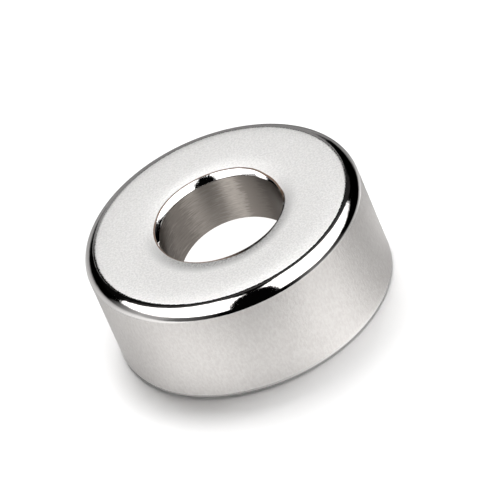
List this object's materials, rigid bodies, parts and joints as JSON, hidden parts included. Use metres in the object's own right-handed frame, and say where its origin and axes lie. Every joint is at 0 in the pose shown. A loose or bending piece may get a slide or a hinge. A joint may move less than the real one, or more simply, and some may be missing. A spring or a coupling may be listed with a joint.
{
  "type": "ring magnet",
  "caption": "Ring magnet with a straight round bore, flat parallel faces, a wide rounded top edge and bright nickel plating.",
  "frame": {"origin": "on the ring's axis, in the plane of the base that rests on the table", "axes": "+Z along the bore's axis, from the base up to the face with the wide rounded edge; the ring is round about Z, so X and Y are any two directions across it"},
  "size_m": [0.02, 0.02, 0.008],
  "materials": {
    "nickel_plate": "bright nickel plating: fine-grained satin on the flat faces and the side, polished on the rounded edges, brushed in the bore"
  },
  "bodies": {
    "root": {"ring_magnet": "nickel_plate"}
  },
  "joints": []
}
